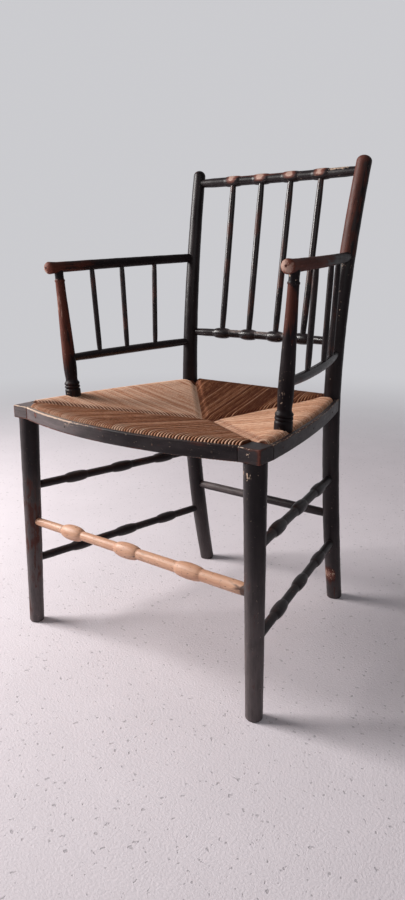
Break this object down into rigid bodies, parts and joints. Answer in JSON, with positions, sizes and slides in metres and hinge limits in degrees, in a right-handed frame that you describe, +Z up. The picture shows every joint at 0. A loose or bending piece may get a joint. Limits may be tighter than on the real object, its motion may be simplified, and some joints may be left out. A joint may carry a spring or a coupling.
{
  "type": "armchair",
  "caption": "Old open armchair with turned legs, spindle back and arms, beaded rails and stretchers, and a dipped woven rush seat; black paint worn and flaking.",
  "frame": {"origin": "on the floor under the middle of the chair's bounding box", "axes": "+Z up, -Y the way a sitter faces, +X to the right of a viewer who faces the front"},
  "size_m": [0.535, 0.5019, 0.8565],
  "materials": {
    "black_paint": "old black gloss paint on turned wood, chipped and scuffed through in places",
    "worn_brown_paint": "black paint rubbed down to reddish brown by hands",
    "bare_wood": "bare honey-coloured wood, worn smooth, with dark paint left in the beads' edges",
    "hidden_wood": "rough unpainted wood inside the weave",
    "rush": "twisted dry rush, golden tan with darker grooves",
    "iron": "dull dark nail heads"
  },
  "bodies": {
    "root": {"arm_left": "worn_brown_paint", "arm_lower_rail_left": "black_paint", "arm_lower_rail_right": "black_paint", "arm_right": "worn_brown_paint", "arm_spindle_left_1": "black_paint", "arm_spindle_left_2": "black_paint", "arm_spindle_left_3": "black_paint", "arm_spindle_right_1": "black_paint", "arm_spindle_right_2": "black_paint", "arm_spindle_right_3": "black_paint", "arm_support_left": "worn_brown_paint", "arm_support_right": "worn_brown_paint", "back_post_left": "black_paint", "back_post_right": "black_paint", "back_seat_rail": "hidden_wood", "back_spindle_1": "black_paint", "back_spindle_2": "black_paint", "back_spindle_3": "black_paint", "back_spindle_4": "black_paint", "back_stretcher": "black_paint", "corner_block_left": "black_paint", "corner_block_right": "black_paint", "crest_rail": "black_paint", "edge_strip_front": "black_paint", "edge_strip_left": "black_paint", "edge_strip_right": "black_paint", "front_leg_left": "black_paint", "front_leg_right": "black_paint", "front_seat_rail": "hidden_wood", "front_stretcher": "bare_wood", "lower_back_rail": "black_paint", "rush_seat": "rush", "side_seat_rail_left": "hidden_wood", "side_seat_rail_right": "hidden_wood", "side_stretcher_lower_left": "black_paint", "side_stretcher_lower_right": "black_paint", "side_stretcher_upper_left": "black_paint", "side_stretcher_upper_right": "black_paint", "strip_nail_front_1": "iron", "strip_nail_front_2": "iron", "strip_nail_front_3": "iron", "strip_nail_front_4": "iron", "strip_nail_front_5": "iron", "strip_nail_left_1": "iron", "strip_nail_left_2": "iron", "strip_nail_left_3": "iron", "strip_nail_right_1": "iron", "strip_nail_right_2": "iron", "strip_nail_right_3": "iron"}
  },
  "joints": []
}
